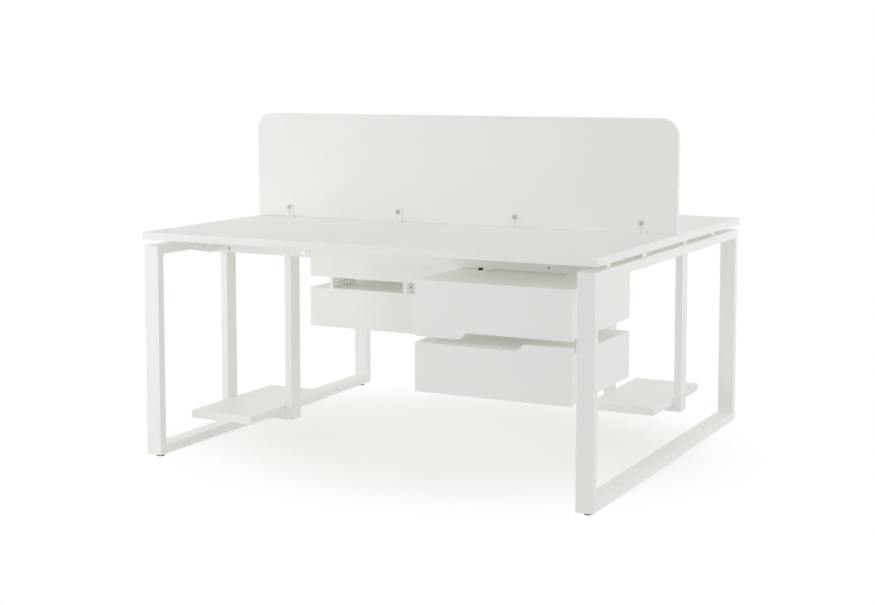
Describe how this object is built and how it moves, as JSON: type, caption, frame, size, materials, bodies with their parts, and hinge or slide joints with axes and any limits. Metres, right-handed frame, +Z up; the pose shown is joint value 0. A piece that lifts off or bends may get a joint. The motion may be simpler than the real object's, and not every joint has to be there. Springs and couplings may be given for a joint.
{
  "type": "benching desk",
  "caption": "Face-to-face bench desk: back-to-back worktops on closed tube leg loops, a low screen on the seam, hung stacked drawers and hung computer shelves.",
  "frame": {"origin": "on the floor under the middle of the seam between the worktops", "axes": "+X along the seam to the right of the front place, +Y from the front place to the rear one, +Z up"},
  "size_m": [1.6, 1.4, 1.125],
  "materials": {
    "white_board": "white melamine-faced particle board, satin",
    "white_steel": "white powder coat, satin",
    "zinc_steel": "zinc-plated sheet steel",
    "black_plastic": "moulded black nylon",
    "black_screw": "black oxide steel",
    "nickel_screw": "nickel-plated steel"
  },
  "bodies": {
    "frame": {"front_top": "white_board", "rear_top": "white_board", "screen": "white_board", "left_leg_loop": "white_steel", "right_leg_loop": "white_steel", "front_beam": "white_steel", "rear_beam": "white_steel", "left_inner_screen_shoe": "white_steel", "left_outer_screen_shoe": "white_steel", "right_inner_screen_shoe": "white_steel", "right_outer_screen_shoe": "white_steel", "left_inner_clamp_screw": "nickel_screw", "left_outer_clamp_screw": "nickel_screw", "right_inner_clamp_screw": "nickel_screw", "right_outer_clamp_screw": "nickel_screw", "front_computer_hanger": "white_steel", "rear_computer_hanger": "white_steel", "front_computer_shelf": "white_board", "rear_computer_shelf": "white_board", "front_hang_plate_left": "white_steel", "front_hang_plate_right": "white_steel", "rear_hang_plate_left": "white_steel", "rear_hang_plate_right": "white_steel", "front_case_spacer_left": "white_steel", "front_case_spacer_right": "white_steel", "rear_case_spacer_left": "white_steel", "rear_case_spacer_right": "white_steel", "front_upper_case": "white_board", "front_lower_case": "white_board", "rear_upper_case": "white_board", "rear_lower_case": "white_board", "front_upper_rail_left": "zinc_steel", "front_upper_rail_right": "zinc_steel", "front_lower_rail_left": "zinc_steel", "front_lower_rail_right": "zinc_steel", "rear_upper_rail_left": "zinc_steel", "rear_upper_rail_right": "zinc_steel", "rear_lower_rail_left": "zinc_steel", "rear_lower_rail_right": "zinc_steel"},
    "front_upper_drawer": {"front_upper_front": "white_board", "front_upper_tray": "white_board", "front_upper_runner_left": "zinc_steel", "front_upper_runner_right": "zinc_steel"},
    "front_lower_drawer": {"front_lower_front": "white_board", "front_lower_tray": "white_board", "front_lower_runner_left": "zinc_steel", "front_lower_runner_right": "zinc_steel"},
    "rear_upper_drawer": {"rear_upper_front": "white_board", "rear_upper_tray": "white_board", "rear_upper_runner_left": "zinc_steel", "rear_upper_runner_right": "zinc_steel"},
    "rear_lower_drawer": {"rear_lower_front": "white_board", "rear_lower_tray": "white_board", "rear_lower_runner_left": "zinc_steel", "rear_lower_runner_right": "zinc_steel"},
    "left_front_glide": {"left_front_foot": "black_plastic"},
    "left_rear_glide": {"left_rear_foot": "black_plastic"},
    "right_front_glide": {"right_front_foot": "black_plastic"},
    "right_rear_glide": {"right_rear_foot": "black_plastic"}
  },
  "joints": [
    {"name": "front_upper_drawer_slide", "type": "slide", "parent": "frame", "child": "front_upper_drawer", "axis": [0, -1, 0], "range_m": [0, 0.3]},
    {"name": "front_lower_drawer_slide", "type": "slide", "parent": "frame", "child": "front_lower_drawer", "axis": [0, -1, 0], "range_m": [0, 0.3]},
    {"name": "rear_upper_drawer_slide", "type": "slide", "parent": "frame", "child": "rear_upper_drawer", "axis": [0, 1, 0], "range_m": [0, 0.3]},
    {"name": "rear_lower_drawer_slide", "type": "slide", "parent": "frame", "child": "rear_lower_drawer", "axis": [0, 1, 0], "range_m": [0, 0.3]},
    {"name": "left_front_foot_turn", "type": "hinge", "parent": "frame", "child": "left_front_glide", "pos_m": [-0.7645, -0.666, 0], "axis": [0, 0, 1], "continuous": true},
    {"name": "left_rear_foot_turn", "type": "hinge", "parent": "frame", "child": "left_rear_glide", "pos_m": [-0.7645, 0.666, 0], "axis": [0, 0, 1], "continuous": true},
    {"name": "right_front_foot_turn", "type": "hinge", "parent": "frame", "child": "right_front_glide", "pos_m": [0.7645, -0.666, 0], "axis": [0, 0, 1], "continuous": true},
    {"name": "right_rear_foot_turn", "type": "hinge", "parent": "frame", "child": "right_rear_glide", "pos_m": [0.7645, 0.666, 0], "axis": [0, 0, 1], "continuous": true}
  ]
}
